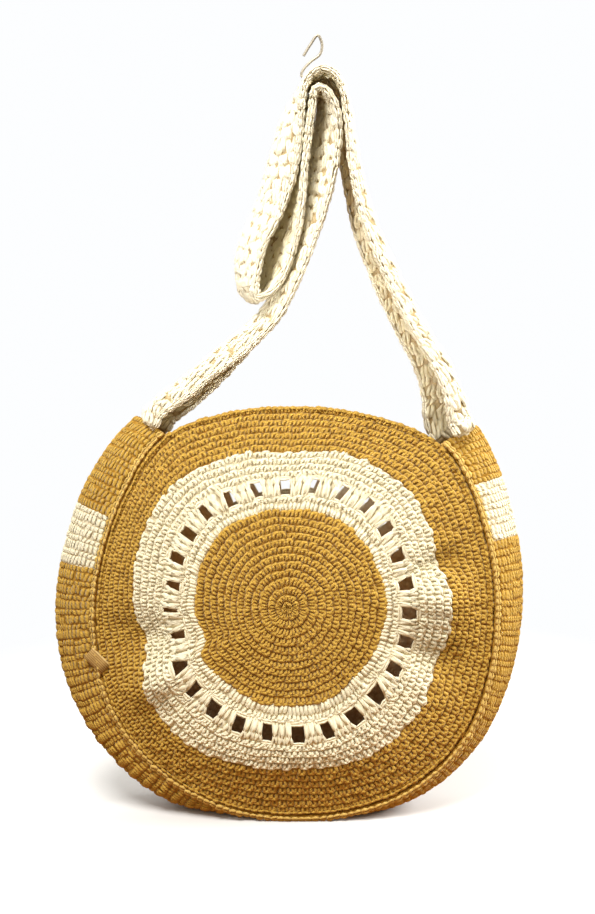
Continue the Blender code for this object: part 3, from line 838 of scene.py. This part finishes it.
def buildGusset():
    bm = bmesh.new()
    bmesh.ops.create_grid(bm, x_segments=16, y_segments=gusset["rows"] * 2, size=0.5)
    flat = flatPlaces(bm) + 0.5
    moveVerts(bm, sunk(*gussetSurface(flat[:, 0], gussetPlace(flat[:, 1]))))
    for face in bm.faces:
        row = int(np.mean([flat[vert.index, 1] for vert in face.verts]) * gusset["rows"])
        face.material_index = int(inCream(row))
    cloth = newPiece("gussetCloth", bm, [goldGroundShaded, creamGroundShaded], bag["groundThickness"])
    gold = layStitches("gussetGoldStitches", ribStitch, gussetCells(False), gussetSurface, goldYarn)
    cream = layStitches("gussetCreamStitches", ribStitch, gussetCells(True), gussetSurface, creamYarn)
    addToBag((cloth, gold))
    addToBag([cream])
    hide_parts("gusset")
    print("gusset stitched")


# Seams and free rims: stitches, cuts along the core, radius, and how far the stitches face the front
seam = {
    "Seam": (150, 150, 0.0016, 0.6),
    "Rim": (198, 270, 0.0013, 0.3),
    "rimShare": (0.985, 0.009, 222, 38),   # tighter at the lower left
    "chainReach": 105,
}


def edgeSurface(middle, outward, radius):
    # A round edge along a line: a is degrees round it, b is the place along
    def surface(around, at):
        place, small = middle(at), 0.05
        way = unitRows(middle(at + small) - place)
        out = outward(at)
        out = unitRows(out - way * (out * way).sum(-1, keepdims=True))
        beside = np.cross(way, out)
        turn = np.radians(around)[:, None]
        normal = out * np.cos(turn) + beside * np.sin(turn)
        return place + normal * radius, normal
    return surface


def edgeCore(name, surface, start, end, steps):
    # The round core that the edge's stitches wrap, in the gold ground's darker colour: painted shade
    # between the stitches
    bm = bmesh.new()
    longRod(bm, 8, steps)
    flat = flatPlaces(bm)
    around = np.degrees(np.arctan2(flat[:, 1], flat[:, 0]))
    moveVerts(bm, surface(around, start + (flat[:, 2] + 0.5) * (end - start))[0])
    bmesh.ops.recalc_face_normals(bm, faces=bm.faces)
    return newPiece(name, bm, [goldGroundShaded])


def wrapEdge(name, surface, start, end, count, finish, turns=(0, 180), **loose):
    # Lines of chain stitches along an edge, at these degrees round it
    step = (end - start) / count
    places = start + np.arange(count) * step
    cells = [cellRows(np.full(count, turn), places, seam["chainReach"], step, **loose) for turn in turns]
    return layStitches(name, chainStitch, cells, surface, finish)


def frontways(side, share):
    # Directions between straight out from the panel and straight away from its centre
    def outward(angle):
        away = polarPoint(angle, 1.0, 0) - bagPoint(0, 0, 0)
        return bagWay(0, 0, side) * share + away * (1 - share)
    return outward


def buildSeam(which, side):
    def middle(angle):
        return polarPoint(angle, seamRadius(angle, side), side * outlineAt(angle, "halfDepth"))

    def rim(angle):
        share, more, at, reach = seam["rimShare"]
        return panelPoint(angle, share + more * bell(turnBetween(angle, at), reach), side)

    edges = (("Seam", middle, rightCorner, leftCorner, seamYarn), ("Rim", rim, 0, 360, goldYarn))
    for kind, line, start, end, finish in edges:
        count, steps, radius, share = seam[kind]
        surface = edgeSurface(line, frontways(side, share), radius)
        chain = wrapEdge(which + kind + "Stitches", surface, start, end, count, finish, wobble=0.03)
        core = edgeCore(which + kind + "Core", surface, start, end, steps)
        addToBag((chain, core))
        if kind == "Seam":
            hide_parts(which + "_seam")
    print(which, "seam and rim stitched")


# Strap
strap = {
    "width": 0.044,
    "thickness": 0.0022,
    "clear": 0.0017,
    "lead": 0.012,
    "leftEnd": (16, 195),
    "rightEnd": (28, 220),
    "flare": (0.016, 0.038),
    "endReach": 0.0024,
    "rowLength": 0.0088,
    "edgeStitches": 140,
    "edgeRadius": 0.0013,
    "edgeTurns": (-75, 20, 115),
    "across": 6,
    # From the left corner over the hook twice to the right corner, in millimetres, then its turn and
    # its edges' curl in degrees. In the loop it hangs up to 1.8 mm to the left of its solid.
    "route": (
        (-96, -36, -203, 12, 180), (-76, -36, -186, 8, 165), (-54, -34, -167, -2, 140),
        (-37, -34, -149.5, -10, 90), (-28, -33, -134, -14, 68), (-17, -32, -109, -16, 55),
        (-5, -31, -74, -19, 48), (0.5, -30, -48, -22, 35), (4, -29.5, -23, -22, 25),
        (5, -29, -8, -12, 12), (1.5, -29, 2, 0, 8), (-4.5, -29, 2, 8, 8),
        (-9.5, -29, -8, 15, 12), (-13.2, -29, -28, 18, 25), (-16.3, -30, -55, 19, 30),
        (-20.5, -30, -83, 23, 20), (-29.5, -31, -110, 26, 12), (-36.5, -31, -128, 17, 8),
        (-43.5, -31, -136.5, 0, 8), (-50.5, -31, -127.5, -16, 15), (-48.2, -31, -101, -24, 25),
        (-35.6, -30, -73, -26, 30), (-27, -30, -46, -26, 30), (-21, -29, -19, -20, 25),
        (-14, -29, 2, -9, 15), (-6.5, -29, 11.5, -3, 8), (3, -29, 14.5, 0, 6),
        (11.5, -29, 8.5, 3, 15), (16.5, -29, -6, 5, 35), (20, -30, -28, 6, 55),
        (25, -31, -55, 4, 80), (32.5, -32, -83, 6, 105), (44, -34, -111, 8, 125),
        (62, -35, -148, 10, 145), (82, -37, -183, 16, 165), (91, -37, -206, 22, 190),
    ),
}


def cornerWay(angle, onward):
    # Middle of the gusset's slanting end at a corner, and the way in which the strap leaves it
    frontRadius, backRadius, topRadius = (gussetSection(angle, share)[0] for share in (0, 1, 0.5))
    inner = polarPoint(angle, (frontRadius + backRadius) / 2, 0)
    outer = polarPoint(angle - onward * bag["slant"][0], topRadius, 0)
    return (inner + outer) / 2, unitRows(np.cross(outer - inner, bagWay(0, 0, 1))) * onward


def strapRows():
    left, leftWay = cornerWay(leftCorner, 1)
    right, rightWay = cornerWay(rightCorner, -1)
    gaps = (strap["clear"], strap["lead"])
    rows = [(*(left + leftWay * away), *strap["leftEnd"]) for away in gaps]
    rows += [(x * mm, y * mm, z * mm, turn, curl) for x, y, z, turn, curl in strap["route"]]
    rows += [(*(right + rightWay * away), *strap["rightEnd"]) for away in reversed(gaps)]
    rows = np.array(rows)
    steps = np.linalg.norm(np.diff(rows[:, :3], axis=0), axis=1)
    return rows, np.concatenate(([0], np.cumsum(steps)))


hung, hungPlaces = strapRows()


def strapPoint(across, place):
    beyond = np.minimum(place, 0) + np.maximum(place - hungPlaces[-1], 0)
    place = np.clip(place, 0, hungPlaces[-1])

    def route(at):
        return np.stack([throughRows(hungPlaces, hung[:, axis], at) for axis in range(3)], -1)

    reach = 0.0005
    ahead, behind = np.minimum(place + reach, hungPlaces[-1]), np.maximum(place - reach, 0)
    way = unitRows(route(ahead) - route(behind))
    back = np.array((0, math.cos(bag["lean"]), -math.sin(bag["lean"])))
    back = unitRows(back - way * (way @ back)[:, None])
    outer = np.cross(way, back)
    turn = np.radians(throughRows(hungPlaces, hung[:, 3], place))[:, None]
    turned = back * np.cos(turn) - outer * np.sin(turn)
    outer = outer * np.cos(turn) + back * np.sin(turn)
    curl = np.radians(np.maximum(4, throughRows(hungPlaces, hung[:, 4], place)))
    flare, reach = strap["flare"]
    radius = (strap["width"] + flare * bell(hungPlaces[-1] - place, reach)) / curl
    bend = (across - 0.5) * curl
    rise = radius * (np.cos(bend) - 1) + radius * (1 - np.cos(curl / 2)) / 2
    centre = route(place) + way * beyond[:, None]
    return centre + turned * (radius * np.sin(bend))[:, None] + outer * rise[:, None]


def strapSurface(face):
    # face 1 is the strap's outer side, -1 its inner one
    def surface(across, at):
        place = strapPoint(across, at)
        along = strapPoint(across, at + 4e-4) - strapPoint(across, at - 4e-4)
        beside = strapPoint(across + 0.01, at) - strapPoint(across - 0.01, at)
        return place, unitRows(np.cross(along, beside)) * face
    return surface


def strapEdge(across):
    # Places along an edge are in millimetres
    def line(at, share=across):
        return strapPoint(np.full(np.shape(at), float(share)), np.asarray(at) * mm)

    def outward(at):
        return line(at) - line(at, 0.5)
    return edgeSurface(line, outward, strap["edgeRadius"])


def strapCells():
    # Half rows of leaf-shaped pairs; odd ones leave out every second cell for the lace's small holes
    ends, across = strap["endReach"], strap["across"]
    rows = 2 * int(hungPlaces[-1] / strap["rowLength"])
    step = (hungPlaces[-1] + 2 * ends) / (rows + 1)
    cells = []
    for row in range(rows):
        column = np.arange(across - row % 2)
        if row % 2 and row < rows - 1:
            column = column[(column + row // 2) % 2 > 0]
        shares = (column + 0.5 + 0.5 * (row % 2)) / across
        cells.append(cellRows(shares, row * step - ends, 1.02 / across, 2 * step, lift=1.4,
                              skew=0.3 * (-1) ** row, wobble=0.12))
    return cells


def buildStrap():
    length, ends = hungPlaces[-1], strap["endReach"]
    bm = bmesh.new()
    bmesh.ops.create_grid(bm, x_segments=8, y_segments=int(length / strap["rowLength"]) * 2, size=0.5)
    flat = flatPlaces(bm) + 0.5
    moveVerts(bm, strapPoint(flat[:, 0], flat[:, 1] * (length + 2 * ends) - ends))
    cloth = newPiece("strapCloth", bm, [strapGroundShaded], strap["thickness"])
    # the inner side's stitches take the warmer colour, painted warm shade
    pieces = [layStitches("strap" + which + "Stitches", leafStitch, strapCells(),
                          strapSurface(face), finish)
              for which, face, finish in (("Outer", 1, strapYarn), ("Inner", -1, strapInnerWarmShade))]
    pieces += [wrapEdge("strap" + which + "Edge", strapEdge(across), 0, length / mm,
                        strap["edgeStitches"], strapYarn, strap["edgeTurns"], lift=0.7, wobble=0.07)
               for which, across in (("Front", 0), ("Back", 1))]
    addToBag((cloth, *pieces))
    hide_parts("strap")
    print("strap stitched")


# Label: a short piece of ribbon, folded double and sewn into the left seam, left bare
label = {
    "length": 0.0165,
    "width": 0.0095,
    "halfGap": 0.00035,
    "strips": 6,
    "curl": (0.0012, 0.0008),
    "thickness": 0.0005,
    "root": (-0.1300, -0.0452),
    "direction": 136,
    "out": 0.0196,
    "drop": 8,
    "finish": {"Base Color": (0.62, 0.40, 0.12), "Roughness": 0.7, "Sheen Weight": 0.1},
    "twill": {"Scale": 2.2, "Distortion": 1.2},
    "threads": ((0.30, 0.16, 0.035), (0.56, 0.35, 0.11)),
    "selvedge": (0.40, 0.45),
    "selvedgeColour": (0.72, 0.50, 0.20),
    "relief": (0.4, 0.0002),
}


def buildLabel():
    # The folded profile is drawn once, extruded across the ribbon's width and given its thickness
    bm = bmesh.new()
    reach, half, wide = label["length"], label["halfGap"], label["width"]
    lower = [(0, -half), (0.3 * reach, -half), (0.7 * reach, -half * 1.3), (reach * 0.97, -half)]
    profile = lower + [(reach, 0)] + [(x, -z) for x, z in reversed(lower)]
    line = [bm.verts.new((x, -wide / 2, z)) for x, z in profile]
    edges = [bm.edges.new(pair) for pair in zip(line, line[1:])]
    for _ in range(label["strips"]):
        made = bmesh.ops.extrude_edge_only(bm, edges=edges)["geom"]
        edges = [part for part in made if isinstance(part, bmesh.types.BMEdge)
                 and abs(part.verts[0].co.y - part.verts[1].co.y) < 1e-6]
        bmesh.ops.translate(bm, vec=(0, wide / label["strips"], 0),
                            verts=[part for part in made if isinstance(part, bmesh.types.BMVert)])
    x, y, z = flatPlaces(bm).T
    endCurl, sideCurl = label["curl"]
    z = z + endCurl * (x / reach) ** 2 - sideCurl * (2 * y / wide) ** 2
    turn, drop = math.radians(label["direction"]), math.radians(label["drop"])
    across, up, out = bagWay(1, 0, 0), bagWay(0, 1, 0), bagWay(0, 0, 1)
    length = across * math.cos(turn) + up * math.sin(turn)
    width = up * math.cos(turn) - across * math.sin(turn)
    normal = out * math.cos(drop) + length * math.sin(drop)
    length = length * math.cos(drop) - out * math.sin(drop)
    root = bagPoint(*label["root"], label["out"])
    moveVerts(bm, root + x[:, None] * length + y[:, None] * width + z[:, None] * normal)
    ribbonMap = bm.loops.layers.uv.new("ribbon")
    for face in bm.faces:
        for loop in face.loops:
            loop[ribbonMap].uv = (x[loop.vert.index] / reach, y[loop.vert.index] / wide + 0.5)
    bmesh.ops.recalc_face_normals(bm, faces=bm.faces)
    ribbon = newPiece("sideLabelRibbon", bm, [ribbonMaterial()], label["thickness"])
    addToBag([ribbon])
    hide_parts("side_label")
    print("label sewn in")


def ribbonMaterial():
    # A fine twill across the ribbon, with paler edges
    material, tree, shader = newMaterial("labelRibbon", label["finish"])
    ribbonMap = addNode(tree, "UVMap", "UV", uv_map="ribbon")
    twill = addNode(tree, "TexWave", "Fac", {"Vector": ribbonMap, **label["twill"]},
                    wave_type="BANDS", bands_direction="Y")
    colours = ramp(tree, twill, *enumerate(label["threads"]))
    across = addNode(tree, "SeparateXYZ", "Y", {"Vector": ribbonMap})
    fromMiddle = worked(tree, "ABSOLUTE", worked(tree, "SUBTRACT", across, 0.5))
    selvedge = mapped(tree, fromMiddle, label["selvedge"])
    feed(shader, {"Base Color": mixed(tree, selvedge, colours, label["selvedgeColour"]),
                  "Normal": bumped(tree, twill, *label["relief"])})
    return material


# Hook: its solids stay, with a drawn-wire and a clear moulded finish
hook = {
    # material, its finish, the grain's scale and the roughness that it varies between
    "hook_wire": ("drawnWire", {"Base Color": (0.44, 0.40, 0.32), "Roughness": 0.5, "Metallic": 0.6},
                  700, (0.45, 0.62)),
    "hook_plate": ("clearPlate", {"Base Color": (0.93, 0.95, 0.96), "Roughness": 0.12,
                                  "Transmission Weight": 0.9, "IOR": 1.46}, 90, (0.05, 0.2)),
}


def finishHook():
    for node, (name, finish, scale, reach) in hook.items():
        material, tree, shader = newMaterial(name, finish)
        place = addNode(tree, "TexCoord", "Object")
        grain = addNode(tree, "TexNoise", "Fac", {"Vector": place, "Scale": scale})
        feed(shader, {"Roughness": mapped(tree, grain, reach=reach)})
        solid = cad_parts[node]
        if not solid.material_slots:
            solid.data.materials.append(material)
        for slot in solid.material_slots:
            slot.material = material
    print("hook finished")


buildStudio()
buildPanel("front", 1)
buildPanel("back", -1)
buildGusset()
buildSeam("front", 1)
buildSeam("back", -1)
buildStrap()
buildLabel()
finishHook()
